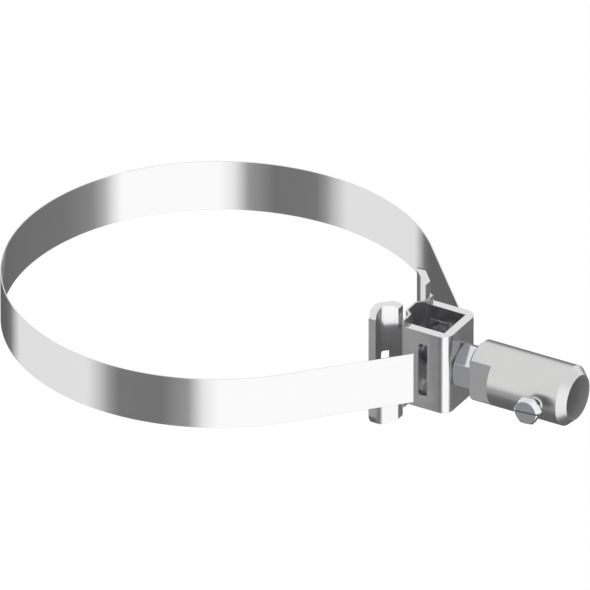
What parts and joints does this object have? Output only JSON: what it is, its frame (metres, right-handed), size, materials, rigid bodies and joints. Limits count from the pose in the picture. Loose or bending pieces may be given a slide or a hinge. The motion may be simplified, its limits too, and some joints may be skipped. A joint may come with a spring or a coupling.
{
  "type": "band clamp",
  "caption": "Steel band clamp for a round pole, with a tensioning head and a socket that holds a rod square to the pole.",
  "frame": {"origin": "centre of the strap's loop, on the pole's axis, at half the strap's width", "axes": "+X along the rod socket, out of its mouth and away from the pole; +Z along the pole; +Y completes a right-handed frame"},
  "size_m": [0.283, 0.196, 0.0612],
  "materials": {
    "strap_steel": "bright rolled stainless steel",
    "formed_steel": "bright formed stainless steel",
    "fastener_steel": "plain machined stainless steel",
    "socket_aluminium": "matte turned"
  },
  "bodies": {
    "root": {"tension_strap": "strap_steel", "pressure_plate": "formed_steel", "saddle_wing_left": "formed_steel", "saddle_wing_right": "formed_steel", "clamp_housing": "formed_steel", "tension_stud": "fastener_steel", "captive_nut": "fastener_steel", "lock_nut": "fastener_steel", "rod_socket": "socket_aluminium", "clamping_screw": "fastener_steel"}
  },
  "joints": []
}
